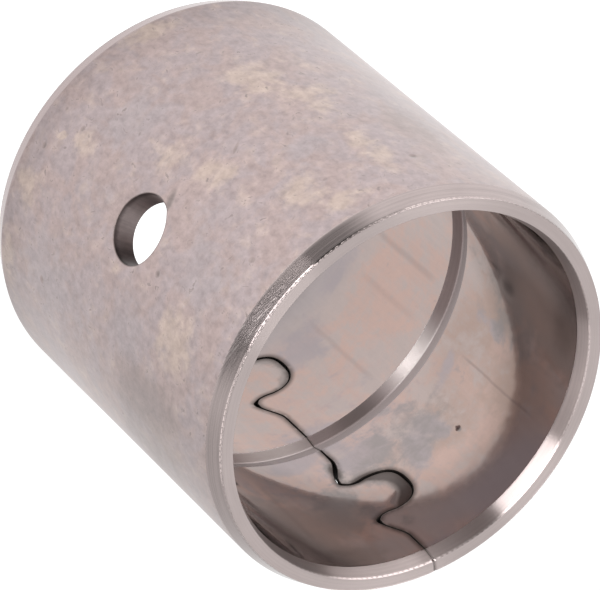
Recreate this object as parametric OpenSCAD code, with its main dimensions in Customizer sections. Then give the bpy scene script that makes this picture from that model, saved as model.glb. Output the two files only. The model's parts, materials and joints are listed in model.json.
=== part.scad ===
// Wrapped steel bush, rolled from one flat strip and locked by two interlocking tabs.
// It stands on its lower end, axis along +Z, with the oil hole on the -Y side.

/* [Shell] */
// Outside diameter
outer_d = 45; // [38:0.5:70]
// Thickness of the rolled strip
wall = 2.5; // [2:0.1:3.5]
// Length from end face to end face
length = 47; // [44:0.5:90]

/* [End chamfers] */
// Length of the outside lead-in, along the axis
lead_len = 1.9; // [0.6:0.1:3]
// How far the outside lead-in goes into the wall
lead_depth = 0.72; // [0.2:0.02:0.9]
// Length of the bore chamfer, along the axis
mouth_len = 1.7; // [0.4:0.1:3]
// How far the bore chamfer goes into the wall
mouth_depth = 0.5; // [0.1:0.02:0.7]

/* [Oil hole and groove] */
// Diameter of the oil hole
hole_d = 7.5; // [3:0.5:10]
// Height of the oil hole's centre above mid-length
hole_rise = 0.8; // [-2:0.1:2]
// Width of the oil groove round the bore
groove_w = 2.9; // [1.5:0.1:5]
// Depth of the oil groove
groove_depth = 0.42; // [0.1:0.02:0.8]
// Width of the groove's flat bottom
groove_floor_w = 0.3; // [0.1:0.1:1]
// Height of the groove's centre above mid-length
groove_rise = -0.5; // [-2:0.1:2]

/* [Joint] */
// Angle of the joint from +X
seam_angle = 42.7; // [0:0.1:225]
// Width of the gap between the two edges of the strip
seam_gap = 0.14; // [0.1:0.02:0.4]
// Height of the lower tab's centre above the lower end
low_tab_z = 9.4; // [9:0.1:12]
// Distance of the upper tab's centre below the upper end
high_tab_drop = 12.4; // [9:0.1:13]
// How far a tab reaches past the joint line
tab_reach = 4.3; // [3.5:0.1:5]
// Width of a tab's head
head_w = 6.4; // [5.4:0.1:7]
// Width of a tab at its neck
neck_w = 5.9; // [5:0.1:6.2]
// Radius of the two corners at a tab's tip
head_r = 2.2; // [1.6:0.1:2.4]
// How far the mating edge's horns reach back beside a tab
horn_reach = 1.35; // [0.8:0.05:1.6]
// Radius of a horn's nose
horn_r = 0.43; // [0.3:0.01:0.5]
// Distance from a tab's centre at which the joint runs straight again
shoulder_z = 8; // [6.5:0.1:8.6]

/* [Hidden] */

$fn = 128;
outer_r = outer_d / 2;
bore_r = outer_r - wall;
past = 1;
// Angle of the oil hole, and the angle at which the turned faces close, clear of hole and joint
hole_angle = -90;
close_angle = 180;
hole_z = length / 2 + hole_rise;
groove_z = length / 2 + groove_rise;
high_tab_z = length - high_tab_drop;

// Points per quarter turn of a tab's corner, and per flank, horn and side
corner_steps = 8;
flank_steps = 12;
horn_steps = 4;
side_steps = 6;

// Centre of a horn's nose, in tab coordinates: x is round the bush, y is along its axis
horn_x = horn_r - horn_reach;
horn_y = neck_w / 2 + 2.3 * horn_r;
// Direction in which the nose's arc runs out into the tab's side
horn_end = 250;

function arc(centre, r, from, to, steps) =
    [for (i = [0:steps]) let (a = from + (to - from) * i / steps) centre + r * [cos(a), sin(a)]];

// Point at share t on the curve from a to c that leans on b
function lean(a, b, c, t) = (1 - t) * (1 - t) * a + 2 * t * (1 - t) * b + t * t * c;

// Upper half of one tab, from its tip to the straight joint
head_corner = [tab_reach - head_r, head_w / 2 - head_r];
side_start = head_corner + [0, head_r];
horn_foot = [horn_x, horn_y] + horn_r * [cos(horn_end), sin(horn_end)];
half_tab = concat(
    arc(head_corner, head_r, 0, 90, corner_steps),
    [for (i = [1:side_steps - 1]) lean(side_start, [-horn_r, neck_w / 2 - 0.1], horn_foot, i / side_steps)],
    arc([horn_x, horn_y], horn_r, horn_end, 180, horn_steps),
    [for (i = [1:flank_steps])
        let (t = i / flank_steps)
        [-horn_reach * (1 + cos(180 * t)) / 2, horn_y + (shoulder_z - horn_y) * t]]
);

// One whole tab at height z, from below it to above it
function tab_line(z) = concat(
    [for (i = [len(half_tab) - 1:-1:0]) [half_tab[i].x, z - half_tab[i].y]],
    [for (p = half_tab) [p.x, z + p.y]]
);

// The joint in the flat strip, from below the lower end to above the upper end
seam_line = concat(
    [[0, -past]],
    tab_line(low_tab_z),
    tab_line(high_tab_z),
    [[0, length + past]]
);

// Unit vector across the joint at point i, to the left of its run
function across(i) =
    let (
        n = len(seam_line) - 1,
        run = seam_line[min(i + 1, n)] - seam_line[max(i - 1, 0)]
    )
    [-run.y, run.x] / norm(run);

// A point of the flat strip, rolled to radius r: the cut stays square to the wall
function rolled(p, r) =
    let (a = seam_angle + p.x / bore_r * 180 / PI)
    [r * cos(a), r * sin(a), p.y];

// Cross-section of the wall, right of the axis
module wall_section() {
    polygon([
        [bore_r + mouth_depth, 0],
        [outer_r - lead_depth, 0],
        [outer_r, lead_len],
        [outer_r, length - lead_len],
        [outer_r - lead_depth, length],
        [bore_r + mouth_depth, length],
        [bore_r, length - mouth_len],
        [bore_r, groove_z + groove_w / 2],
        [bore_r + groove_depth, groove_z + groove_floor_w / 2],
        [bore_r + groove_depth, groove_z - groove_floor_w / 2],
        [bore_r, groove_z - groove_w / 2],
        [bore_r, mouth_len]
    ]);
}

// The thin ribbon that parts the strip's two edges, cut through the whole wall
module joint_cut() {
    n = len(seam_line);
    radii = [bore_r - past, outer_r + past];
    // Four corners at each point: inside left, inside right, outside right, outside left
    points = [
        for (i = [0:n - 1])
            let (side = across(i) * seam_gap / 2, left = seam_line[i] + side, right = seam_line[i] - side)
            each [rolled(left, radii[0]), rolled(right, radii[0]), rolled(right, radii[1]), rolled(left, radii[1])]
    ];
    strips = [
        for (i = [0:n - 2], k = [0:3])
            let (a = 4 * i + k, b = 4 * i + (k + 1) % 4)
            each [[a, b, b + 4], [a, b + 4, a + 4]]
    ];
    ends = [[3, 2, 1, 0], [for (k = [0:3]) 4 * (n - 1) + k]];
    polyhedron(points, concat(strips, ends), convexity = 10);
}

module oil_hole() {
    translate([0, 0, hole_z])
        rotate([0, 90, hole_angle])
            translate([0, 0, bore_r - 2 * past])
                cylinder(h = wall + 4 * past, d = hole_d);
}

module bush() {
    color([0.72, 0.67, 0.65])
        difference() {
            rotate([0, 0, close_angle])
                rotate_extrude()
                    wall_section();
            oil_hole();
            joint_cut();
        }
}

bush();
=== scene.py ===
import json
import math

import bpy
import numpy as np
from mathutils import Euler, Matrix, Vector
from mathutils.geometry import delaunay_2d_cdt


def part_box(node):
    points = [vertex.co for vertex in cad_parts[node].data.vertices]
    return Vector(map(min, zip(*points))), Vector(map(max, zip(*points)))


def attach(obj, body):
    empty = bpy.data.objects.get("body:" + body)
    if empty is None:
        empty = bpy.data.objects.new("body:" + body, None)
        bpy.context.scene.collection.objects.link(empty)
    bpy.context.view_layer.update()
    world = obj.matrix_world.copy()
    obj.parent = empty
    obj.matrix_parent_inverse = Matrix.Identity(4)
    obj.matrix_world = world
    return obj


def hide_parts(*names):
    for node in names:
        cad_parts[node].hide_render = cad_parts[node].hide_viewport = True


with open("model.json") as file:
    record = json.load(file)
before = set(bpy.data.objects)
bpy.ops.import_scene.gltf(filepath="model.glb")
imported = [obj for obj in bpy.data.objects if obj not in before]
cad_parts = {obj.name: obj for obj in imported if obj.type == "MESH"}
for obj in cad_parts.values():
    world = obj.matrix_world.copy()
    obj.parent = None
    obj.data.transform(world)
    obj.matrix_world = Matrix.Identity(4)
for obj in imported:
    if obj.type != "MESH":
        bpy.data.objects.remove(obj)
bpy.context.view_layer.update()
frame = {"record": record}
bushLow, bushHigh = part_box("bush")
mounts = {m["name"]: m for m in frame["record"]["mounts"]}
mm = 0.001    # lengths below are in millimetres, Blender's in metres
hair = 0.001  # millimetres that no one sees


# camera: azimuth from -Y, elevation and roll in degrees, target on the bush's axis
cameraSetup = {
    "azimuth": -15.15, "elevation": 47.54, "roll": 132.05,
    "distance": 489.0, "target": (0.21, 0.50, 23.99), "lens": 288.3, "sensor": 36, "clip": (0.05, 5),
}


def makeCamera(c):
    # the camera stands on a sphere round the target, looks at it, then turns about its own line of sight
    data = bpy.data.cameras.new("camera")
    data.lens = c["lens"]
    data.sensor_width = c["sensor"]
    data.clip_start, data.clip_end = c["clip"]
    camera = bpy.data.objects.new("camera", data)
    azimuth, elevation = math.radians(c["azimuth"]), math.radians(c["elevation"])
    back = Vector((
        math.sin(azimuth) * math.cos(elevation),
        -math.cos(azimuth) * math.cos(elevation),
        math.sin(elevation),
    ))
    camera.location = (Vector(c["target"]) + back * c["distance"]) * mm
    facing = (-back).to_track_quat("-Z", "Y")
    camera.rotation_mode = "QUATERNION"
    camera.rotation_quaternion = facing @ Euler((0, 0, math.radians(c["roll"]))).to_quaternion()
    bpy.context.scene.collection.objects.link(camera)
    bpy.context.scene.camera = camera


makeCamera(cameraSetup)
print("camera placed")


bush = {
    "length": (bushHigh.z - bushLow.z) / mm,
    "outerRadius": (bushHigh.x - bushLow.x) / 2 / mm - hair,  # just inside the solid's facets
    "boreRadius": mounts["bore"]["dims"]["r_mm"],
    "leadLength": 1.9, "leadDepth": 0.72,          # outside lead-in, at both ends
    "mouthLength": 1.7, "mouthDepth": 0.5,         # chamfer of the bore, at both ends
    "grooveHeight": 23.0, "grooveWidth": 2.9, "grooveFloor": 0.3, "grooveDepth": 0.42,
    "holeAngle": -90, "holeHeight": mounts["oil_hole"]["pos_m"][2] / mm,
    "holeRadius": mounts["oil_hole"]["dims"]["r_mm"],
    "straightReach": 8.0,                          # how far round the hole its straight sides draw the wall
    "punched": 1.6,                                # how far round the hole the groove is pressed shut
    "holeTaper": 0.22, "taperReach": 3.0,          # how much smaller the punched hole is on the bore's side
    "softness": 0.10,                              # rounding where two turned faces meet
    "jointLip": 0.07, "holeLip": 0.06,             # rounded edges of the joint and of the hole
    "markTint": 20,                                # how much darker a wear mark is per millimetre of depth
}

# spacing of the mesh's points, in millimetres where nothing else is said
spacing = {
    "field": 0.6, "ends": 0.32, "marks": 0.11,     # points on the wall, along its ends and in the wear marks
    "firstRow": 0.5, "rows": 0.55, "leastGap": 0.025,               # rows of points up the wall
    "endRows": (0.03, 0.08, 0.16, 0.28),                            # extra rows from each end
    "kneeRows": (-0.22, -0.1, -0.04, 0, 0.04, 0.1, 0.22),           # extra rows round each knee
    "lipRows": (0.1, 0.4, 0.7, 1.0, 1.8, 3.2, 5.4), "lipClear": 7,  # rows along the joint, in lip radii
    "rowKeep": 0.9,                                # a row's points stay where it is this share of its way off
    "holePoints": 140, "holeRows": (0.1, 0.4, 1.0, 2.4, 4.4), "holeClear": 6,  # rings round the hole
    "wallRows": (0.035, 0.2, 0.5, 0.8, 0.965),     # rows through the wall, as shares of the way in
    "markReach": 1.7,                              # a wear mark's finer patch, in half lengths
    "pastJoint": (2, 5),                           # how far the field runs past the joint line at each end
    "edgeWindow": 8, "farAway": 99,                # no point further off is measured; distance given to it
    "holeSlack": 0.004,                            # how deep in the hole a triangle at its rim may lie
    "merge": 1e-7,                                 # points nearer than this would be one
}

joint = {
    "angle": 42.7, "gap": 0.07,
    "tabHeights": (9.4, 34.6), "tabReach": 4.3, "headWidth": 6.4, "neckWidth": 5.9, "waist": 0.1,
    "headDepth": 3.2, "headPower": 2.7,            # superellipse of a head: half axis round the bush, power
    "hornReach": 1.35, "hornRadius": 0.43, "hornEnd": 250, "hornRise": 2.3, "shoulder": 8.0,
    "tipGap": 0.13, "hornGap": 0.30,               # extra gap at the tabs' tips and the horns' noses
    "tipSpread": 1.9, "hornSpread": 0.6,           # how far along the joint that extra gap spreads
    "headDrop": (0.08, 0.13),                      # how far each head's tip hangs back from the bore
    "headShade": (1.6, 7.0),                       # and the painted shade on its bent rim, standing for the dark it mirrors
    "headBend": 0.27, "bendFade": (0.8, 2.8), "bendSpan": 2,  # where that rim begins, fades in and ends
    "step": 0.16,                                  # spacing of the points along the joint
    "curvePoints": 60, "sidePoints": 30, "nosePoints": 14,
    # places where the gap is wider: x from the joint line, height, reach, extra gap
    "wider": [(0.9, 31.6, 1.3, 0.20), (-0.5, 28.4, 1.8, 0.30), (-0.9, 6.2, 0.8, 0.08), (0, 23.0, 1.6, -0.05),
              (-1.35, 30.7, 0.5, -0.20), (0, 0, 2.2, -0.05), (0, 47, 2.2, -0.05)],
}

# small marks of wear: angle from +X and height, half length and half width, turn in degrees, depth
outsideMarks = [
    (258.2, 25.75, 1.25, 0.50, 27, 0.11), (256.6, 40.7, 0.28, 0.45, 15, 0.07),
    (275.7, 30.2, 0.32, 0.42, 0, 0.10), (270.8, 4.5, 0.30, 0.30, 0, 0.08),
    (260.6, 8.2, 0.30, 0.30, 0, 0.08), (238.3, 26.9, 0.95, 0.16, 45, 0.06),
    (204.4, 38.9, 0.34, 0.34, 0, 0.07), (228.9, 38.2, 0.36, 0.24, 30, 0.06),
    (301.8, 11.0, 0.34, 0.34, 0, 0.07), (259.6, 4.2, 0.22, 0.22, 0, 0.04),
    (252.1, 3.4, 0.42, 0.16, 0, 0.04), (274.6, 12.3, 0.22, 0.22, 0, 0.04),
    (269.1, 12.8, 0.30, 0.20, 30, 0.04), (258.8, 15.3, 0.20, 0.20, 0, 0.035),
    (260.4, 19.8, 0.52, 0.18, -30, 0.04), (258.4, 40.0, 0.50, 0.15, 20, 0.05),
    (259.8, 38.1, 0.36, 0.15, -20, 0.05), (249.8, 29.8, 0.20, 0.20, 0, 0.04),
    (242.1, 40.5, 0.46, 0.15, 30, 0.05), (271.1, 43.7, 0.26, 0.16, 0, 0.05),
    (282.8, 14.6, 0.20, 0.20, 0, 0.045), (265.1, 15.6, 0.26, 0.20, 0, 0.035),
    (96.0, 21.0, 0.60, 0.16, 25, 0.05), (15.0, 37.5, 0.34, 0.30, 0, 0.06),
]
boreMarks = [
    (76.7, 34.4, 0.26, 0.32, 0, 0.07),
]

# stains: angle from +X and height of the middle, half width and half height, turn in degrees, strength
outsideStains = {
    "warm": [
        (229, 42.6, 2.4, 1.7, 0, 0.9), (235, 38.2, 2.6, 3.2, 0, 0.9), (212.5, 36.0, 1.7, 5.4, 0, 0.9),
        (211, 24.6, 2.6, 3.6, 0, 0.8), (219, 17.8, 2.8, 4.2, 0, 0.9), (246, 28.1, 1.7, 2.9, 10, 1.0),
        (251, 21.2, 2.0, 3.2, 0, 0.7), (286, 37.0, 3.3, 3.9, 0, 1.0), (231, 3.2, 3.0, 2.0, 0, 0.9),
        (282, 4.8, 2.4, 2.9, 0, 0.8), (305, 3.6, 3.6, 1.8, 0, 0.8), (315, 35.8, 2.6, 4.5, 0, 0.7),
        (263, 10.0, 1.5, 2.6, 0, 0.7), (265.8, 6.3, 0.25, 0.8, -20, 1.6),
        (283, 23.4, 0.8, 1.6, 0, 0.7), (205, 16.0, 1.8, 3.0, 0, 0.5),
        (150, 30.0, 4.0, 7.0, 20, 0.8), (100, 14.0, 5.0, 4.0, -15, 0.8), (20, 33.0, 5.0, 6.0, 10, 0.8),
        (62, 26.0, 4.0, 5.0, 0, 0.7), (345, 20.0, 3.5, 6.0, 0, 0.8), (122, 40.0, 5.0, 2.5, 0, 0.7),
    ],
    "cool": [
        (225, 32.4, 2.6, 2.8, 0, 0.9), (268, 37.0, 3.4, 4.8, 0, 0.9), (293, 28.5, 3.4, 4.0, 0, 0.9),
        (301, 13.5, 4.4, 8.5, 0, 0.9), (250, 13.4, 4.0, 4.4, 0, 0.9), (256, 32.0, 2.4, 2.4, 0, 0.6),
        (187, 24.0, 3.0, 8.0, 0, 0.7), (272, 17.0, 3.0, 3.0, 0, 0.6), (130, 20.0, 5.0, 8.0, 0, 0.8),
        (80, 36.0, 5.0, 5.0, 0, 0.8), (40, 12.0, 5.0, 6.0, 0, 0.7), (0, 38.0, 5.0, 5.0, 0, 0.8),
    ],
    "dark": [
        (306, 34.0, 2.8, 7.0, 0, 0.9), (322, 32.0, 5.0, 8.0, 0, 0.9), (193, 32.0, 3.6, 6.0, 0, 0.8),
        (200, 40.0, 3.0, 2.6, 0, 0.4), (110, 30.0, 5.0, 6.0, 0, 0.6), (60, 8.0, 6.0, 3.0, 0, 0.6),
    ],
}
boreStains = {
    "warm": [
        (67, 35.8, 2.0, 2.4, 0, 1.0), (80, 37.2, 3.4, 2.0, 0, 0.9), (105, 34.0, 1.8, 2.4, -25, 1.0),
        (88, 31.0, 3.4, 4.4, 0, 0.8), (13, 33.0, 1.5, 6.5, 4, 0.8), (25, 40.8, 2.6, 1.4, 0, 0.5),
        (35, 30.0, 1.6, 2.6, 0, 0.9), (48, 34.4, 1.3, 1.9, 0, 1.0), (45, 18.0, 3.6, 4.5, 0, 0.8),
        (47, 9.8, 1.5, 1.9, 0, 0.9), (88, 13.5, 5.0, 6.0, 0, 0.9), (110, 16.0, 3.0, 6.0, 0, 0.8),
        (200, 30.0, 6.0, 6.0, 0, 0.8), (290, 14.0, 6.0, 6.0, 0, 0.8), (150, 38.0, 5.0, 4.0, 0, 0.7),
    ],
    "cool": [
        (262, 9.0, 19.0, 12.0, 0, 1.3),
        (64, 32.2, 1.5, 3.0, 20, 0.95), (72.6, 31.6, 1.1, 2.6, -10, 0.95), (50, 28.2, 3.6, 2.0, 0, 0.9),
        (56, 25.0, 11.0, 13.0, 0, 0.45), (20, 36.0, 7.0, 8.0, 0, 0.55),
        (30, 25.2, 3.0, 1.9, 0, 0.8), (64, 8.8, 3.4, 3.4, 0, 1.0), (90, 5.2, 5.4, 2.0, 0, 0.9),
        (107, 31.0, 1.1, 3.4, 0, 0.8), (88, 27.6, 2.6, 0.9, -20, 0.8), (43, 22.8, 4.0, 2.4, 0, 0.7),
        (180, 14.0, 6.0, 7.0, 0, 0.9), (240, 34.0, 6.0, 6.0, 0, 0.9), (320, 30.0, 5.0, 7.0, 0, 0.8),
    ],
    "dark": [
        (33, 35.4, 3.0, 4.4, 0, 0.9), (46, 40.2, 0.9, 1.1, 20, 1.0), (122.5, 32.5, 0.9, 1.3, 0, 1.0),
        (45.5, 31.3, 1.6, 0.6, 0, 2.0), (20, 44.0, 5.0, 2.6, 0, 0.9), (124, 43.6, 5.5, 3.0, 0, 0.9),
        (40.6, 28.6, 0.5, 1.5, 0, 2.2), (132, 37.0, 9.5, 10.0, 0, 1.2), (11, 38.5, 6.5, 8.0, 0, 1.2),
        (64, 30.5, 9.0, 5.0, 0, 0.75),
    ],
}
# thin drawn lines along the bore: angle from +X, lowest and highest point, half width, strength
boreLines = [
    (93.8, 27.5, 43.5, 0.13, 0.38), (70.4, 6.0, 21.0, 0.24, 0.17), (106.5, 7.0, 21.0, 0.34, 0.22),
    (92.6, 8.0, 20.5, 0.30, 0.13), (14.5, 27.0, 42.0, 0.36, 0.30), (203.0, 4.0, 30.0, 0.16, 0.30),
    (310.0, 24.0, 44.0, 0.18, 0.30),
]


def arcPoints(centre, radius, start, end, count):
    # an arc: centre + radius * (cos a, sin a), with a from start to end degrees
    a = np.radians(np.linspace(start, end, count))
    return np.array(centre) + radius * np.stack([np.cos(a), np.sin(a)], 1)


def curvePoints(a, b, c, count):
    # a curve from a to c that leans on b: (1 - t)^2 a + 2 t (1 - t) b + t^2 c
    t = np.linspace(0, 1, count)[:, None]
    return (1 - t) ** 2 * np.array(a) + 2 * t * (1 - t) * np.array(b) + t ** 2 * np.array(c)


def noseHeight(j):
    # how far a horn's nose lies above or below its tab's middle
    return j["neckWidth"] / 2 + j["hornRise"] * j["hornRadius"]


def tabPoints(j, height):
    # one tab: superellipse head, side, horn's nose and cosine shoulder, mirrored about its own height
    a = np.radians(np.linspace(0, 90, j["curvePoints"]))
    power = 2 / j["headPower"]
    head = np.stack([
        j["tabReach"] - j["headDepth"] * (1 - np.cos(a) ** power),
        j["headWidth"] / 2 * np.sin(a) ** power,
    ], 1)
    horn = np.array([j["hornRadius"] - j["hornReach"], noseHeight(j)])
    end = math.radians(j["hornEnd"])
    foot = horn + j["hornRadius"] * np.array([math.cos(end), math.sin(end)])
    t = np.linspace(0, 1, j["curvePoints"])[1:]
    shoulder = np.stack([
        -j["hornReach"] * (1 + np.cos(math.pi * t)) / 2,
        horn[1] + (j["shoulder"] - horn[1]) * t,
    ], 1)
    neck = (-j["hornRadius"], j["neckWidth"] / 2 - j["waist"])
    half = np.concatenate([
        head,
        curvePoints(head[-1], neck, foot, j["sidePoints"])[1:],
        arcPoints(horn, j["hornRadius"], j["hornEnd"], 180, j["nosePoints"])[1:],
        shoulder,
    ])
    lower = half[::-1] * (1, -1)
    return np.concatenate([lower, half]) + (0, height)


def jointLine(j, length):
    # the joint in the flat strip at even steps, x round the bush and y along it, and the way to its right
    line = np.concatenate([[(0, 0)], *[tabPoints(j, h) for h in j["tabHeights"]], [(0, length)]])
    run = np.concatenate([[0], np.cumsum(np.hypot(*np.diff(line, axis=0).T))])
    even = np.linspace(0, run[-1], int(run[-1] / j["step"]))
    line = np.stack([np.interp(even, run, line[:, k]) for k in (0, 1)], 1)
    tangent = np.gradient(line, axis=0)
    tangent /= np.hypot(*tangent.T)[:, None]
    return line, np.stack([tangent[:, 1], -tangent[:, 0]], 1)


def gapHalves(j, line):
    # half the gap along the joint: its base value plus extra * exp(-(away / reach)^2) round each place
    half = np.full(len(line), j["gap"] / 2)
    swells = list(j["wider"])
    for height in j["tabHeights"]:
        swells.append((j["tabReach"], height, j["tipSpread"], j["tipGap"]))
        for side in (-1, 1):
            nose = height + side * noseHeight(j)
            swells.append((-j["hornReach"], nose, j["hornSpread"], j["hornGap"]))
    for x, height, reach, extra in swells:
        away = np.hypot(line[:, 0] - x, line[:, 1] - height)
        half += extra / 2 * np.exp(-(away / reach) ** 2)
    return half


def distanceTo(points, line):
    # shortest distance from each point to the straight pieces of a line
    a, b = line[:-1], line[1:]
    ab = b - a
    rel = points[:, None] - a[None]
    t = np.clip((rel * ab).sum(2) / (ab * ab).sum(1), 0, 1)
    return np.sqrt(((rel - t[..., None] * ab) ** 2).sum(2).min(1))


def rightOf(points, line):
    # true where a level ray to the left crosses the line an odd number of times
    a, b = line[:-1], line[1:]
    y = points[:, 1:2]
    spans = (a[:, 1] > y) != (b[:, 1] > y)
    rise = np.where(b[:, 1] == a[:, 1], 1, b[:, 1] - a[:, 1])
    x = a[:, 0] + (y - a[:, 1]) * (b[:, 0] - a[:, 0]) / rise
    return (spans & (points[:, 0:1] > x)).sum(1) % 2 == 1


def ramp(x, soft):
    # (x + sqrt(x^2 + soft^2)) / 2: x where x is positive and 0 before, with a soft bend
    return (x + np.sqrt(x * x + soft * soft)) / 2


def smooth(x, low, high):
    # 0 below low, 1 above high, and 3 t^2 - 2 t^3 between
    t = np.clip((x - low) / (high - low), 0, 1)
    return t * t * (3 - 2 * t)


def stripPlace(b, angle):
    # distance round the bore from the joint to an angle
    return (angle - joint["angle"]) % 360 * math.pi / 180 * b["boreRadius"]


def bells(b, rows, s, z):
    # the sum of flat-topped bells: strength * exp(-(x^2 + y^2)^1.5) over turned ovals in the flat strip
    total = np.zeros_like(s)
    around = 2 * math.pi * b["boreRadius"]
    for angle, height, length, width, turn, strength in rows:
        x = (s - stripPlace(b, angle) + around / 2) % around - around / 2
        y = z - height
        c, d = math.cos(math.radians(turn)), math.sin(math.radians(turn))
        along, across = (x * c + y * d) / length, (y * c - x * d) / width
        total += strength * np.exp(-(along ** 2 + across ** 2) ** 1.5)
    return total


def fromHole(b, s, z):
    # distance outside the rim of the oil hole, in the flat strip; far away on the other side of the bush
    a = (s - stripPlace(b, b["holeAngle"])) / b["boreRadius"]
    away = np.hypot(b["boreRadius"] * np.sin(a), z - b["holeHeight"]) - b["holeRadius"]
    return np.where(np.cos(a) > 0, away, spacing["farAway"])


def outsideRadius(b, z):
    # the outside wall: its radius less slope * ramp of the lead-in at each end
    slope = b["leadDepth"] / b["leadLength"]
    soft = b["softness"]
    lead = ramp(b["leadLength"] - z, soft) + ramp(z - b["length"] + b["leadLength"], soft)
    return b["outerRadius"] - slope * lead


def insideRadius(b, s, z):
    # the bore: its radius plus slope * ramp of each end's chamfer, plus the groove's two slopes and floor
    slope = b["mouthDepth"] / b["mouthLength"]
    soft = b["softness"]
    mouth = ramp(b["mouthLength"] - z, soft) + ramp(z - b["length"] + b["mouthLength"], soft)
    fromMiddle = np.hypot(z - b["grooveHeight"], hair)
    half, floor = b["grooveWidth"] / 2, b["grooveFloor"] / 2
    steep = b["grooveDepth"] / (half - floor)
    groove = steep * (ramp(half - fromMiddle, soft / 2) - ramp(floor - fromMiddle, soft / 2))
    return b["boreRadius"] + slope * mouth + groove * smooth(fromHole(b, s, z), 0, b["punched"])


def lipDrop(distance, lip):
    # a quarter round along an edge: lip * (1 - sqrt(1 - x^2)), x being 1 at the edge and 0 one lip away
    x = np.clip(1 - distance / lip, 0, 1)
    return lip * (1 - np.sqrt(1 - x * x))


def headRims(b, j, s, z):
    # the bent rim of each tab's head: ((r - bend) / (1 - bend))^2, fading in towards the tip, where r is 1 on
    # the head's outline
    x = s - 2 * math.pi * b["boreRadius"]
    rims = []
    for height in j["tabHeights"]:
        fromMiddle = np.maximum(x - j["tabReach"] + j["headDepth"], 0) / j["headDepth"]
        aside = abs(z - height) / (j["headWidth"] / 2)
        r = (fromMiddle ** j["headPower"] + aside ** j["headPower"]) ** (1 / j["headPower"])
        rim = np.clip((r - j["headBend"]) / (1 - j["headBend"]), 0, 1) ** 2
        rims.append(rim * smooth(x, *j["bendFade"]) * (aside < j["bendSpan"]))
    return rims


def rolled(b, s, z, radius, taper=0.0):
    # a point of the flat strip rolled to a radius; near the oil hole its sides run straight through the wall,
    # drawn towards the hole's middle by the taper
    away = fromHole(b, s, z)
    a = (s - stripPlace(b, b["holeAngle"])) / b["boreRadius"]
    draw = taper * np.clip(1 - away / b["taperReach"], 0, 1) ** 2 / (b["holeRadius"] + abs(away))
    across = b["boreRadius"] * np.sin(a) * (1 - draw)
    z = z - draw * (z - b["holeHeight"])
    share = np.clip(1 - away / b["straightReach"], 0, 1) ** 2
    a = a + share * (np.arcsin(np.clip(across / radius, -1, 1)) - a) + math.radians(b["holeAngle"])
    return np.stack([radius * np.cos(a), radius * np.sin(a), z], 1)


def holeRing(b, grown):
    # a ring round the oil hole in the flat strip, so that it is a true circle once rolled
    turn = np.linspace(2 * math.pi, 0, spacing["holePoints"], endpoint=False)
    radius = b["holeRadius"] + grown
    s = b["boreRadius"] * np.arcsin(radius * np.cos(turn) / b["boreRadius"])
    return np.stack([s + stripPlace(b, b["holeAngle"]), radius * np.sin(turn) + b["holeHeight"]], 1)


def stripEdges(b, j):
    # the strip's two cut edges, half the gap to each side of the joint line, and rows of points along them
    line, right = jointLine(j, b["length"])
    half = gapHalves(j, line)[:, None]
    around = (2 * math.pi * b["boreRadius"], 0)
    edges = [line + right * half, line - right * half + around]
    for edge in edges:
        edge[[0, -1], 1] = 0, b["length"]
    rows = []
    for edge, side in zip(edges, (1, -1)):
        for k in spacing["lipRows"]:
            off = k * b["jointLip"]
            row = (edge + side * off * right)[2:-2]
            rows.append(row[distanceTo(row, edge) > spacing["rowKeep"] * off])
    return edges, np.concatenate(rows)


def turnedHeights(b):
    # heights of the rows of points: even steps, closer round every knee of the turned section
    knees = [b["leadLength"], b["mouthLength"], b["length"] - b["leadLength"], b["length"] - b["mouthLength"]]
    halves = (b["grooveWidth"] / 2, b["grooveFloor"] / 2)
    knees += [b["grooveHeight"] + side * half for side in (-1, 1) for half in halves]
    ends = np.array(spacing["endRows"])
    heights = np.concatenate([
        np.arange(spacing["firstRow"], b["length"], spacing["rows"]),
        *[knee + np.array(spacing["kneeRows"]) for knee in knees],
        ends, b["length"] - ends,
    ])
    heights = np.unique(np.round(heights, 3))
    return heights[np.concatenate([[True], np.diff(heights) > spacing["leastGap"]])]


def fieldPoints(b, edges):
    # an even field of points over the strip, finer in the wear marks, clear of the joint's edges and the hole
    around = 2 * math.pi * b["boreRadius"]
    before, after = spacing["pastJoint"]
    s, z = np.meshgrid(np.arange(-before, around + after + 1, spacing["field"]), turnedHeights(b))
    field = np.stack([s.ravel(), z.ravel()], 1)
    patches = []
    for angle, height, length, width, *_ in outsideMarks + boreMarks:
        reach = spacing["markReach"] * max(length, width)
        centre = np.array([stripPlace(b, angle), height])
        steps = np.arange(-reach, reach, spacing["marks"])
        x, y = np.meshgrid(steps, steps)
        disc = np.stack([x.ravel(), y.ravel()], 1)
        patches.append(disc[np.hypot(*disc.T) < reach] + centre)
        field = field[np.hypot(*(field - centre).T) > reach]
    field = np.concatenate([field, *patches])
    field = field[fromHole(b, *field.T) > spacing["holeClear"] * b["holeLip"]]
    for edge, isRight in zip(edges, (True, False)):
        near = abs(field[:, 0] - edge[0, 0]) < spacing["edgeWindow"]
        keep = np.ones(len(field), bool)
        clear = distanceTo(field[near], edge) > spacing["lipClear"] * b["jointLip"]
        keep[near] = clear & (rightOf(field[near], edge) == isRight)
        field = field[keep]
    return field[(field[:, 0] > -before) & (field[:, 0] < around + after)]


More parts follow.
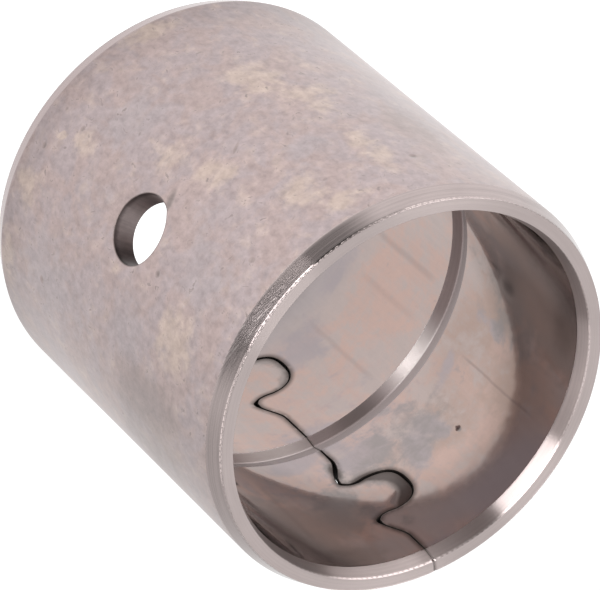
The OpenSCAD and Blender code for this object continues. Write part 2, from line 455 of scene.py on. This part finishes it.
def stripMesh(b, j):
    # the flat strip as points and triangles, with its outline and the hole's rim as closed loops of points
    edges, lipRows = stripEdges(b, j)
    startEdge, endEdge = edges
    ends = int(2 * math.pi * b["boreRadius"] / spacing["ends"])
    bottom = np.linspace(startEdge[0], endEdge[0], ends)[1:-1]
    top = np.linspace(endEdge[-1], startEdge[-1], ends)[1:-1]
    outline = np.concatenate([bottom, endEdge, top, startEdge[::-1]])
    hole = holeRing(b, 0)
    rings = [holeRing(b, k * b["holeLip"]) for k in spacing["holeRows"]]
    points = np.concatenate([outline, hole, lipRows, *rings, fieldPoints(b, edges)])
    loops = [np.arange(len(outline)), len(outline) + np.arange(len(hole))]
    sides = np.concatenate([np.stack([loop, np.roll(loop, -1)], 1) for loop in loops])
    made = delaunay_2d_cdt([Vector(p) for p in points.tolist()], sides.tolist(), [], 1, spacing["merge"])
    if len(made[0]) != len(points):
        raise RuntimeError("the strip's points were merged")
    triangles = np.array(made[2])
    outsideHole = fromHole(b, *points[triangles].mean(1).T) > -spacing["holeSlack"]
    return points, triangles[outsideHole], loops, edges


def edgeDistances(points, edges):
    # distance of each point to the nearest cut edge of the strip
    distances = np.full((2, len(points)), float(spacing["farAway"]))
    for k, edge in enumerate(edges):
        near = abs(points[:, 0] - edge[0, 0]) < spacing["edgeWindow"]
        distances[k, near] = distanceTo(points[near], edge)
    return distances.min(0)


def skins(b, s, z, lip, bend):
    # the strip's two faces: the section's radius, less the wear marks, the lips and the heads' bend
    outside = outsideRadius(b, z) - bells(b, outsideMarks, s, z) - lip
    inside = insideRadius(b, s, z) + bells(b, boreMarks, s, z) + lip + bend
    return rolled(b, s, z, outside), rolled(b, s, z, inside, b["holeTaper"])


def stainField(b, stains, marks, s, z):
    # strengths of the warm, cool and dark stains at each point; a wear mark is darker the deeper it is
    tints = [(*mark[:5], b["markTint"] * mark[5]) for mark in marks]
    dark = bells(b, stains["dark"], s, z) + bells(b, tints, s, z)
    return np.stack([bells(b, stains["warm"], s, z), bells(b, stains["cool"], s, z), dark], 1)


def skinFinishes(b, heights):
    # the finish of each triangle outside and inside, by the height of its middle
    fromEnd = np.minimum(heights, b["length"] - heights)
    inGroove = abs(heights - b["grooveHeight"]) < b["grooveWidth"] / 2
    outside = np.where(fromEnd < b["leadLength"], "lead", "rolled")
    return outside, np.where(inGroove, "groove", np.where(fromEnd < b["mouthLength"], "turned", "bore"))


def quadRows(rows):
    # quads between each row of points and the next, round a closed loop, facing out of the metal
    ahead = np.roll(rows, -1, axis=1)
    return np.stack([ahead[:-1], rows[:-1], rows[1:], ahead[1:]], 2).reshape(-1, 4)


def addAttribute(mesh, name, kind, values):
    # one value or one vector for each point, for the finishes to read
    layer = mesh.attributes.new(name, kind, "POINT")
    layer.data.foreach_set("value" if kind == "FLOAT" else "vector", values.astype(np.float32).ravel())


def makeBush(b, j, finishes):
    # two skins over the same flat points, closed along every edge by rows of points that lie at
    # outside * (1 - share) + inside * share
    points, triangles, loops, edges = stripMesh(b, j)
    s, z = points.T
    toJoint = edgeDistances(points, edges)
    toHole = np.maximum(fromHole(b, s, z), 0)
    toEdge = np.minimum(toJoint, toHole)
    rims = headRims(b, j, s, z)
    bend = sum(drop * rim for drop, rim in zip(j["headDrop"], rims))
    lip = lipDrop(toJoint, b["jointLip"]) + lipDrop(toHole, b["holeLip"])
    outside, inside = skins(b, s, z, lip, bend)
    count = len(points)
    wall = b["outerRadius"] - b["boreRadius"]
    print("strip:", count, "points,", len(triangles), "triangles")
    vertices, faces = [outside, inside], [triangles, triangles[:, ::-1] + count]
    names = list(skinFinishes(b, z[triangles].mean(1)))
    places = [np.column_stack([points, np.full(count, depth)]) for depth in (0, wall)]
    stains = [stainField(b, outsideStains, outsideMarks, s, z), stainField(b, boreStains, boreMarks, s, z)]
    # painted shade: the dark that each head's bent rim mirrors, painted in through the bore's dark stain
    # strength
    stains[1][:, 2] += sum(shade * rim for shade, rim in zip(j["headShade"], rims))
    toEdges = [toEdge, toEdge]

    # the walls between the two skins: the joint's cut edges and the two end faces, then the hole
    total = 2 * count
    for loop, finish in zip(loops, ("cut", "hole")):
        rows = [loop]
        for share in spacing["wallRows"]:
            vertices.append(outside[loop] * (1 - share) + inside[loop] * share)
            places.append(np.column_stack([points[loop], np.full(len(loop), share * wall)]))
            stains.append(np.zeros((len(loop), 3)))
            toEdges.append(toEdge[loop])
            rows.append(total + np.arange(len(loop)))
            total += len(loop)
        rows.append(loop + count)
        faces.append(quadRows(np.array(rows)))
        onEnd = (z[loop] < hair) | (z[loop] > b["length"] - hair)
        names.append(np.where(np.tile(onEnd & np.roll(onEnd, -1), len(rows) - 1), "turned", finish))

    mesh = bpy.data.meshes.new("wrappedBush")
    corners = [face for part in faces for face in part.tolist()]
    mesh.from_pydata((np.concatenate(vertices) * mm).tolist(), [], corners)
    names = np.concatenate(names)
    slots = np.zeros(len(names), np.int32)
    for k, (name, finish) in enumerate(finishes.items()):
        mesh.materials.append(finish)
        slots[names == name] = k
    mesh.polygons.foreach_set("material_index", slots)
    addAttribute(mesh, "strip", "FLOAT_VECTOR", np.concatenate(places))
    addAttribute(mesh, "stain", "FLOAT_VECTOR", np.concatenate(stains))
    addAttribute(mesh, "edge", "FLOAT", np.concatenate(toEdges))
    mesh.shade_smooth()
    mesh.update()
    piece = bpy.data.objects.new("wrappedBush", mesh)
    bpy.context.scene.collection.objects.link(piece)
    return piece


class Wire:
    # one output of a node tree; sums on it are written as plain expressions and become Math nodes
    def __init__(self, tree, socket):
        self.tree = tree
        self.socket = socket

    def sum(self, operation, *values):
        return self.tree.node("ShaderNodeMath", {"operation": operation}, dict(enumerate(values)))

    def __add__(self, other):
        return self.sum("ADD", self, other)

    def __radd__(self, other):
        return self.sum("ADD", other, self)

    def __sub__(self, other):
        return self.sum("SUBTRACT", self, other)

    def __rsub__(self, other):
        return self.sum("SUBTRACT", other, self)

    def __mul__(self, other):
        return self.sum("MULTIPLY", self, other)

    def __rmul__(self, other):
        return self.sum("MULTIPLY", other, self)

    def __abs__(self):
        return self.sum("ABSOLUTE", self)


class Tree:
    # a node tree: node() adds any node, the others are short names for the nodes used most
    def __init__(self, nodeTree):
        self.nodeTree = nodeTree

    def node(self, kind, settings, sockets, output=0):
        made = self.nodeTree.nodes.new(kind)
        for name, value in settings.items():
            setattr(made, name, value)
        for place, value in sockets.items():
            if isinstance(value, Wire):
                self.nodeTree.links.new(value.socket, made.inputs[place])
            else:
                made.inputs[place].default_value = value
        return Wire(self, made.outputs[output])

    def attribute(self, name, output="Vector"):
        return self.node("ShaderNodeAttribute", {"attribute_name": name}, {}, output)

    def split(self, vector):
        return [self.node("ShaderNodeSeparateXYZ", {}, {0: vector}, k) for k in range(3)]

    def noise(self, place, stretch, shift, detail, distortion=0.0):
        # stretch holds the features per millimetre along each direction
        moved = self.node("ShaderNodeMapping", {}, {
            "Vector": place, "Location": (shift, shift, 0), "Scale": stretch,
        })
        return self.node("ShaderNodeTexNoise", {}, {
            "Vector": moved, "Scale": 1.0, "Detail": detail, "Roughness": 0.6, "Distortion": distortion,
        })

    def patterns(self, place, rows):
        # one noise for each row of a finish's table
        return {name: self.noise(place, *row) for name, row in rows.items()}

    def mask(self, value, low, high):
        # 0 below low, 1 above high and smooth between
        return self.node("ShaderNodeMapRange", {"interpolation_type": "SMOOTHSTEP"},
                         {"Value": value, "From Min": low, "From Max": high})

    def blend(self, share, first, second):
        return self.node("ShaderNodeMix", {"data_type": "RGBA"}, {0: share, 6: first, 7: second}, 2)

    def dim(self, colour, level):
        return self.node("ShaderNodeVectorMath", {"operation": "SCALE"}, {0: colour, "Scale": level})

    def bump(self, height, depth):
        return self.node("ShaderNodeBump", {}, {"Height": height, "Distance": depth * mm, "Strength": 1.0})


def steelFinish(name, fixed, build):
    # a metal: fixed holds the shader's constant sockets, build returns what changes over the surface
    material = bpy.data.materials.new(name)
    material.use_nodes = True
    tree = Tree(material.node_tree)
    shader = material.node_tree.nodes["Principled BSDF"]
    shader.inputs["Metallic"].default_value = 1
    for socket, value in fixed.items():
        shader.inputs[socket].default_value = value
    for socket, wire in build(tree).items():
        material.node_tree.links.new(wire.socket, shader.inputs[socket])
    return material


def colour(r, g, b):
    return (r, g, b, 1)


def weighted(patterns, level, shares):
    # level + the sum of share * pattern
    for name, share in shares.items():
        level = level + share * patterns[name]
    return level


# in the tables below a pattern is: features per millimetre round the bush, along it and through the wall,
# then shift, detail and distortion; a span is where a mask begins and ends; shade and roughness are a base
# level and the shares of patterns added to it

stainBorders = {
    "patchy": ((0.45, 0.45, 0.45), 41.0, 5, 0.4),
    "broken": (-1.9, {"cloud": 1.0, "patchy": 1.9, "fine": 0.9}),
    "span": (0.25, 1.05), "shares": {"warm": 0.85, "cool": 0.85, "dark": 0.75},
    "speckBroken": 0.3, "speckSpan": (1.0, 2.4), "speckShare": 0.9,
}


def stained(t, base, c, place, patterns):
    # the stains' fields, on the bore with the painted shade of the tab heads' rims in the dark one, their
    # borders broken up by the patterns, blended over the base colour
    borders = stainBorders
    strengths = t.split(t.attribute("stain"))
    patchy = t.noise(place, *borders["patchy"])
    broken = weighted({**patterns, "patchy": patchy}, *borders["broken"])
    result = base
    for strength, (tint, share) in zip(strengths, borders["shares"].items()):
        result = t.blend(t.mask(strength + broken, *borders["span"]) * share, result, c[tint])
    specks = t.mask(strengths[2] + borders["speckBroken"] * broken, *borders["speckSpan"])
    return t.blend(specks * borders["speckShare"], result, c["speck"])


dirtStart = 0.02  # millimetres of an edge that are fully dirty


def dirtyEdge(t, reach):
    # 1 at the rim of the joint and of the hole, fading out over the reach
    return 1 - t.mask(t.attribute("edge", "Fac"), dirtStart, reach)


rolledSteel = {
    "base": colour(0.303, 0.239, 0.229), "lilac": colour(0.291, 0.241, 0.242),
    "warm": colour(0.368, 0.294, 0.256), "cool": colour(0.280, 0.240, 0.244),
    "dark": colour(0.228, 0.184, 0.175),
    "speck": colour(0.165, 0.136, 0.130), "rim": colour(0.10, 0.08, 0.075),
    "patterns": {
        "cloud": ((0.16, 0.16, 0.16), 3.0, 4, 0.6), "fine": ((1.25, 0.8, 1.0), 11.0, 5),
        "drift": ((0.27, 0.2, 0.24), 21.0, 4, 0.8), "grain": ((1.5, 1.1, 1.3), 31.0, 5, 0.7),
        "glow": ((0.56, 0.4, 0.5), 51.0, 4, 0.4),
    },
    "lilacSpan": (0.40, 0.60), "warmSpan": (0.52, 0.72), "warmShare": 0.45,
    "grainSpan": (0.59, 0.68), "speckSpan": (0.85, 1.12), "speckShare": 0.8,
    "rimReach": 0.16, "rimShare": 0.85,
    "shade": (0.20, {"fine": 0.68, "cloud": 0.18, "glow": 0.26, "grain": 0.48}),
    "roughness": (0.21, {"fine": 0.16, "cloud": 0.10}), "grainRelief": 0.5, "relief": 0.02,
}


def buildRolled(t):
    # rolled grey with lilac and warm drifts, stains, specks and fine grain
    c = rolledSteel
    place = t.attribute("strip")
    p = t.patterns(place, c["patterns"])
    base = t.blend(t.mask(p["drift"], *c["lilacSpan"]), c["base"], c["lilac"])
    base = t.blend(t.mask(p["glow"], *c["warmSpan"]) * c["warmShare"], base, c["warm"])
    tone = stained(t, base, c, place, p)
    specks = t.mask(p["grain"], *c["grainSpan"]) * t.mask(p["cloud"] + p["glow"], *c["speckSpan"])
    tone = t.blend(specks * c["speckShare"], tone, c["speck"])
    tone = t.blend(dirtyEdge(t, c["rimReach"]) * c["rimShare"], tone, c["rim"])
    return {
        "Base Color": t.dim(tone, weighted(p, *c["shade"])),
        "Roughness": weighted(p, *c["roughness"]),
        "Normal": t.bump(p["fine"] + c["grainRelief"] * p["grain"], c["relief"]),
    }


boreSteel = {
    "base": colour(0.364, 0.301, 0.284), "warm": colour(0.398, 0.286, 0.252),
    "cool": colour(0.296, 0.257, 0.266), "dark": colour(0.225, 0.200, 0.193),
    "belt": colour(0.322, 0.281, 0.280), "line": colour(0.16, 0.12, 0.115),
    "speck": colour(0.085, 0.070, 0.066), "rim": colour(0.075, 0.060, 0.055),
    "gap": colour(0.03, 0.025, 0.022), "amber": colour(0.312, 0.231, 0.200),
    "patterns": {
        "cloud": ((0.22, 0.18, 0.2), 5.0, 4, 0.5), "fine": ((1.3, 1.0, 1.0), 17.0, 4),
        "drawn": ((1.6, 0.07, 1.0), 27.0, 4), "ripple": ((0.35, 0.2, 1.0), 45.0, 2),
    },
    "warmFine": 0.4, "warmSpan": (0.60, 0.85),
    "beltEnds": (9.0, 4.0), "beltBroken": 5.0,     # distances from an end between which the painted shade of the mouths comes in
    # amber-tinted painted shade on one side of the bore
    "amberPlace": (98.0, 34.0), "amberSquash": 0.8, "amberReach": (7.0, 15.0),
    "amberFine": 0.5, "amberSpan": (0.45, 0.85), "amberShare": 0.85,
    "lineWander": 0.5, "lineEdge": (0.2, 1.8), "lineFade": 3.0,
    # dirt together with painted shade beside the joint and the hole
    "grimeReach": 0.75, "grimeSpan": (0.60, 1.10), "grimeShare": 0.85,
    "gapReach": 0.13, "gapShare": 0.9, "gapDull": 0.7,
    "blurSpan": (0.7, 1.2), "blur": 0.12,          # dark stains blur what they mirror
    "shade": (0.86, {"fine": 0.10, "drawn": 0.10, "cloud": 0.08}),
    "roughness": (0.033, {"fine": 0.03, "cloud": 0.03}), "drawnRelief": 0.06, "relief": 0.008,
}


def buildBore(t):
    # bright drawn steel with painted shade inside both mouths and amber-tinted painted shade on one side,
    # with stains, drawn lines, and a dirty joint with painted shade beside it
    c = boreSteel
    place = t.attribute("strip")
    s, z = t.split(place)[:2]
    p = t.patterns(place, c["patterns"])
    half = bush["length"] / 2
    # painted shade inside each mouth of the bore: darker, greyer steel within a few millimetres of either
    # end, with a broken border
    mouthShadeEdge = abs(z - half) + c["beltBroken"] * (p["cloud"] - 0.5)
    base = t.blend(t.mask(p["cloud"] + c["warmFine"] * p["fine"], *c["warmSpan"]), c["base"], c["warm"])
    base = t.blend(t.mask(mouthShadeEdge, *(half - end for end in c["beltEnds"])), base, c["belt"])
    # painted shade: an amber-tinted darkening on one side of the bore, fading out from its middle and broken
    # up
    middle, height = c["amberPlace"]
    away = c["amberSquash"] * abs(s - stripPlace(bush, middle)) + abs(z - height)
    patchy = t.mask(p["cloud"] + c["amberFine"] * p["fine"], *c["amberSpan"])
    amber = (1 - t.mask(away, *c["amberReach"])) * patchy
    base = t.blend(amber * c["amberShare"], base, c["amber"])
    tone = stained(t, base, c, place, p)
    for angle, low, high, width, strength in boreLines:
        aside = s + c["lineWander"] * (p["cloud"] - 0.5) - stripPlace(bush, angle)
        onLine = 1 - t.mask(abs(aside), *(k * width for k in c["lineEdge"]))
        span = t.mask(z, low, low + c["lineFade"]) * (1 - t.mask(z, high - c["lineFade"], high))
        tone = t.blend(onLine * span * strength, tone, c["line"])
    # dirt with painted shade: a soft, broken dark band beside the joint and the hole
    dirtAndShade = dirtyEdge(t, c["grimeReach"]) * t.mask(p["cloud"] + p["fine"], *c["grimeSpan"])
    tone = t.blend(dirtAndShade * c["grimeShare"], tone, c["rim"])
    rim = dirtyEdge(t, c["gapReach"])
    tone = t.blend(rim * c["gapShare"], tone, c["gap"])
    blurred = t.mask(t.split(t.attribute("stain"))[2], *c["blurSpan"]) * c["blur"]
    return {
        "Base Color": t.dim(tone, weighted(p, *c["shade"])),
        "Roughness": blurred + c["gapDull"] * rim + weighted(p, *c["roughness"]),
        "Normal": t.bump(p["ripple"] + c["drawnRelief"] * p["drawn"], c["relief"]),
    }


# what the end faces and the groove share: fine turned rings, dirty along the rims of the joint and the hole
turnedRings = {
    "rings": ((0.03, 5.0, 5.0), 3.0, 3), "span": (0.42, 0.62), "share": 0.4,
    "rimReach": 0.25, "rimShare": 0.6,
}


def turnedTone(t, c, place):
    rings = t.noise(place, *turnedRings["rings"])
    tone = t.blend(t.mask(rings, *turnedRings["span"]) * turnedRings["share"], c["base"], c["line"])
    return t.blend(dirtyEdge(t, turnedRings["rimReach"]) * turnedRings["rimShare"], tone, c["rim"]), rings


burr = {"torn": ((2.6, 6.0, 6.0), 33.0, 3), "span": (0.05, 0.17), "relief": 3}


def burrHeight(t, place):
    # torn noise on the rim between an end face and the outside lead-in, 0 elsewhere
    z, depth = t.split(place)[1:]
    half = bush["length"] / 2
    onRim = 1 - t.mask(half - abs(z - half) + depth, *burr["span"])
    return t.noise(place, *burr["torn"]) * onRim * burr["relief"]


turnedSteel = {
    "base": colour(0.512, 0.440, 0.428), "line": colour(0.420, 0.358, 0.350),
    "rim": colour(0.10, 0.08, 0.075),
    "patterns": {"cloud": ((0.25, 0.5, 0.5), 9.0, 4)},
    "shade": (0.92, {"cloud": 0.16}), "ringRelief": 0.25, "relief": 0.02,
}


def buildTurned(t):
    # end faces and bore chamfers
    c = turnedSteel
    place = t.attribute("strip")
    p = t.patterns(place, c["patterns"])
    tone, rings = turnedTone(t, c, place)
    height = rings * c["ringRelief"] + burrHeight(t, place)
    return {"Base Color": t.dim(tone, weighted(p, *c["shade"])), "Normal": t.bump(height, c["relief"])}


grooveSteel = {
    "base": colour(0.43, 0.36, 0.355), "line": colour(0.35, 0.29, 0.286), "rim": colour(0.16, 0.14, 0.13),
    # painted light: shine is a painted highlight here, and the colour after it a painted dark reflection
    "shine": colour(0.82, 0.75, 0.73), "soot": colour(0.20, 0.17, 0.16),
    # places on the lower slope given painted highlights and a painted dark reflection: angle from +X, reach,
    # share, tint
    "rubbed": [(29, 5.0, 1.0, "shine"), (84, 4.4, 1.0, "shine"), (59, 3.0, 0.6, "soot")],
    "rubbedEdge": (0.2, 1.4), "upperEdge": 0.1, "upperDull": 0.25, "relief": 0.006,
}


def buildGroove(t):
    # painted shade darkens the upper slope; the lower one has painted highlights and a painted dark
    # reflection in places
    c = grooveSteel
    place = t.attribute("strip")
    s, z = t.split(place)[:2]
    tone, rings = turnedTone(t, c, place)
    upper = t.mask(z, bush["grooveHeight"] - c["upperEdge"], bush["grooveHeight"] + c["upperEdge"])
    for angle, reach, share, tint in c["rubbed"]:
        rubbed = 1 - t.mask(abs(s - stripPlace(bush, angle)), *(k * reach for k in c["rubbedEdge"]))
        tone = t.blend(rubbed * (1 - upper) * share, tone, c[tint])
    return {"Base Color": t.dim(tone, 1 - upper * c["upperDull"]), "Normal": t.bump(rings, c["relief"])}


leadSteel = {
    "base": colour(0.308, 0.260, 0.253), "line": colour(0.236, 0.201, 0.196),
    "worn": colour(0.162, 0.138, 0.137), "scratch": colour(0.10, 0.09, 0.085),
    "shine": colour(0.50, 0.46, 0.44), "farTone": colour(0.34, 0.25, 0.245),
    "patterns": {"rings": ((0.05, 4.0, 1.0), 7.0, 3), "cloud": ((0.3, 0.8, 1.0), 13.0, 4)},
    "ringSpan": (0.40, 0.62), "ringShare": 0.55,
    "chatter": (260.0, 4.5), "chatterLean": 2, "chatterBroken": 4,
    "chatterEdge": (-3.0, 1.6), "wornShare": 0.85,
    "scratches": ((0.55, 6.5, 1.0), 19.0, 4), "scratchTurn": 14,
    "scratchSpan": (0.56, 0.64), "scratchShare": 0.75,
    "shineSpan": (0.34, 0.43), "shineShare": 0.5,
    "farSpan": (1.0, 4.0), "farShare": 0.8,
    "shade": (0.90, {"cloud": 0.2}), "ringRelief": 0.3, "scratchRelief": 0.7, "relief": 0.02,
}


def buildLead(t):
    # turned lead-ins; on the near one the tool chattered in one place and left it worn, scratched aslant
    c = leadSteel
    place = t.attribute("strip")
    s, z = t.split(place)[:2]
    p = t.patterns(place, c["patterns"])
    middle, reach = c["chatter"]
    aside = abs(s - stripPlace(bush, middle) + c["chatterLean"] * (z - bush["length"]))
    aside = aside + c["chatterBroken"] * (p["cloud"] - 0.5)
    chatter = 1 - t.mask(aside, *(reach + edge for edge in c["chatterEdge"]))
    turn = (0, 0, math.radians(c["scratchTurn"]))
    slanted = t.node("ShaderNodeMapping", {}, {"Vector": place, "Rotation": turn})
    scratches = t.noise(slanted, *c["scratches"])
    tone = t.blend(t.mask(p["rings"], *c["ringSpan"]) * c["ringShare"], c["base"], c["line"])
    tone = t.blend(chatter * c["wornShare"], tone, c["worn"])
    tone = t.blend(t.mask(scratches, *c["scratchSpan"]) * chatter * c["scratchShare"], tone, c["scratch"])
    tone = t.blend((1 - t.mask(scratches, *c["shineSpan"])) * chatter * c["shineShare"], tone, c["shine"])
    tone = t.blend((1 - t.mask(z, *c["farSpan"])) * c["farShare"], tone, c["farTone"])
    height = p["rings"] * c["ringRelief"] + scratches * chatter * c["scratchRelief"] + burrHeight(t, place)
    return {"Base Color": t.dim(tone, weighted(p, *c["shade"])), "Normal": t.bump(height, c["relief"])}


cutSteel = {
    "base": colour(0.030, 0.026, 0.024), "spot": colour(0.08, 0.067, 0.063),
    "spots": ((0.8, 0.8, 0.8), 23.0, 4), "spotSpan": (0.5, 0.75),
}


def buildCut(t):
    # the dark cut faces inside the joint, with paler spots
    c = cutSteel
    spots = t.noise(t.attribute("strip"), *c["spots"])
    return {"Base Color": t.blend(t.mask(spots, *c["spotSpan"]), c["base"], c["spot"])}


holeSteel = {
    "base": colour(0.285, 0.236, 0.230), "line": colour(0.245, 0.203, 0.198),
    "rim": colour(0.085, 0.066, 0.064),
    "patterns": {"lines": ((2.4, 2.4, 0.12), 29.0, 4), "spots": ((0.9, 0.9, 0.9), 37.0, 4)},
    "lineSpan": (0.40, 0.66),
    "rimBroken": 0.5, "rimSpan": (0.12, 0.75), "rimShare": 0.8,     # depth of the dark outer rim
    "sideLean": 0.5, "sideSpan": (0.35, 0.95), "sideShade": 0.6,    # painted shade on one side, in hole radii
    "shade": (0.75, {"spots": 0.5}), "relief": 0.02,
}


def buildHole(t):
    # punched lines straight through the wall, a dark outer rim and painted shade on one side
    c = holeSteel
    place = t.attribute("strip")
    s, z, depth = t.split(place)
    p = t.patterns(place, c["patterns"])
    tone = t.blend(t.mask(p["lines"], *c["lineSpan"]), c["base"], c["line"])
    rim = 1 - t.mask(depth + c["rimBroken"] * (p["spots"] - 0.5), *c["rimSpan"])
    tone = t.blend(rim * c["rimShare"], tone, c["rim"])
    aside = s - stripPlace(bush, bush["holeAngle"]) + c["sideLean"] * (z - bush["holeHeight"])
    side = t.mask(aside, *(k * bush["holeRadius"] for k in c["sideSpan"]))
    tone = t.dim(tone, 1 - side * c["sideShade"])
    return {"Base Color": t.dim(tone, weighted(p, *c["shade"])), "Normal": t.bump(p["lines"], c["relief"])}


# fixed sockets; the turned faces blur across their fine grooves and stay sharp round the bush
finishes = {
    "rolled": steelFinish("rolledSteel", {}, buildRolled),
    "bore": steelFinish("boreSteel", {}, buildBore),
    "turned": steelFinish(
        "turnedSteel", {"Roughness": 0.30, "Anisotropic": 1.0, "Anisotropic Rotation": 0.25}, buildTurned,
    ),
    "groove": steelFinish(
        "grooveSteel", {"Roughness": 0.33, "Anisotropic": 0.9, "Anisotropic Rotation": 0.25}, buildGroove,
    ),
    "lead": steelFinish(
        "leadSteel", {"Roughness": 0.13, "Anisotropic": 0.85, "Anisotropic Rotation": 0.25}, buildLead,
    ),
    "cut": steelFinish("cutSteel", {"Roughness": 0.8}, buildCut),
    "hole": steelFinish("holeSteel", {"Roughness": 0.50}, buildHole),
}
bushPiece = makeBush(bush, joint, finishes)
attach(bushPiece, "root")
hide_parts("bush")
print("bush made")


# studio: a pale tent with its dark opening on the camera's side, over a glowing white floor
studio = {
    "tent": 1.0, "opening": 0.14, "openingFacing": 260, "openingWidth": (35, 58),
    "floorGlow": 1.34, "floorTilt": 0.34, "tiltFacing": 220, "tiltReach": 70,
    "footShade": 0.22, "footRing": (22, 6),
    "paper": 0.06, "floorFade": (120, 420), "floorDark": 0.12, "floorSize": 6000,
}

# softboxes: the angle each stands at, its distance, width and height span above the floor, and its glow
softboxes = {
    "front": {"facing": 264.0, "distance": 700, "width": 560, "span": (40, 780), "glow": 7.5},
    "right": {"facing": 171.0, "distance": 500, "width": 450, "span": (70, 850), "glow": 2.5},
    "left": {"facing": 319.0, "distance": 600, "width": 700, "span": (20, 320), "glow": 1.8},
}


def facingVector(angle):
    # the level unit vector at an angle from +X
    return Vector((math.cos(math.radians(angle)), math.sin(math.radians(angle)), 0))


def openingMask(t, direction, s):
    # 1 inside the cone of directions towards the opening, 0 outside, and smooth between
    toward = facingVector(s["openingFacing"])
    cosine = t.node("ShaderNodeVectorMath", {"operation": "DOT_PRODUCT"}, {0: direction, 1: toward}, "Value")
    inner, outer = (math.cos(math.radians(w)) for w in s["openingWidth"])
    return t.mask(cosine, outer, inner)


def makeFloor(s):
    # a level sheet; its glow tilts gently from side to side and fades into the dark towards the opening
    half = s["floorSize"] * mm / 2
    mesh = bpy.data.meshes.new("floor")
    corners = [(-half, -half, 0), (half, -half, 0), (half, half, 0), (-half, half, 0)]
    mesh.from_pydata(corners, [], [(0, 1, 2, 3)])
    floor = bpy.data.objects.new("floor", mesh)
    bpy.context.scene.collection.objects.link(floor)
    material = bpy.data.materials.new("floorPaper")
    material.use_nodes = True
    t = Tree(material.node_tree)
    place = t.node("ShaderNodeTexCoord", {}, {}, "Object")
    away = t.node("ShaderNodeVectorMath", {"operation": "LENGTH"}, {0: place}, "Value")
    direction = t.node("ShaderNodeVectorMath", {"operation": "NORMALIZE"}, {0: place})
    near, far = (d * mm for d in s["floorFade"])
    fade = t.mask(away, near, far)
    dark = fade * openingMask(t, direction, s) * (1 - s["floorDark"])
    toward = facingVector(s["tiltFacing"])
    aside = t.node("ShaderNodeVectorMath", {"operation": "DOT_PRODUCT"}, {0: place, 1: toward}, "Value")
    reach = s["tiltReach"] * mm
    tilt = (t.mask(aside, -reach, reach) - 0.5) * (2 * s["floorTilt"])
    # a soft ring of shade under the bush's foot: 1 - (distance / width)^2, never below 0
    radius, width = (d * mm for d in s["footRing"])
    offset = (away - radius) * (1 / width)
    foot = t.mask(1 - offset * offset, 0, 1) * s["footShade"]
    shade = (tilt + s["floorGlow"]) * (1 - dark) * (1 - foot)
    shader = material.node_tree.nodes["Principled BSDF"]
    for socket, wire in (
        ("Base Color", t.node("ShaderNodeCombineColor", {}, {k: shade * s["paper"] for k in range(3)})),
        ("Emission Color", t.node("ShaderNodeCombineColor", {}, {k: shade for k in range(3)})),
    ):
        material.node_tree.links.new(wire.socket, shader.inputs[socket])
    shader.inputs["Roughness"].default_value = 1
    shader.inputs["Specular IOR Level"].default_value = 0
    shader.inputs["Emission Strength"].default_value = 1
    mesh.materials.append(material)


def makeSoftbox(name, b):
    # an area lamp that faces the bush and stays out of the picture; its power keeps its glow at any size
    low, high = b["span"]
    data = bpy.data.lights.new(name, "AREA")
    data.shape = "RECTANGLE"
    data.size, data.size_y = b["width"] * mm, (high - low) * mm
    data.energy = b["glow"] * math.pi * data.size * data.size_y
    lamp = bpy.data.objects.new(name, data)
    lamp.location = facingVector(b["facing"]) * b["distance"] * mm + Vector((0, 0, (low + high) / 2 * mm))
    lamp.rotation_mode = "QUATERNION"
    lamp.rotation_quaternion = (-facingVector(b["facing"])).to_track_quat("-Z", "Y")
    lamp.visible_camera = False
    bpy.context.scene.collection.objects.link(lamp)


def makeTent(s):
    # the world: one pale level all round, darker inside the opening
    world = bpy.data.worlds.new("tent")
    world.use_nodes = True
    t = Tree(world.node_tree)
    direction = t.node("ShaderNodeTexCoord", {}, {}, "Generated")
    level = s["tent"] - openingMask(t, direction, s) * (s["tent"] - s["opening"])
    world.node_tree.links.new(level.socket, world.node_tree.nodes["Background"].inputs["Color"])
    bpy.context.scene.world = world


makeFloor(studio)
for name, box in softboxes.items():
    makeSoftbox(name, box)
makeTent(studio)
bpy.context.scene.view_settings.view_transform = "Standard"
print("studio made")
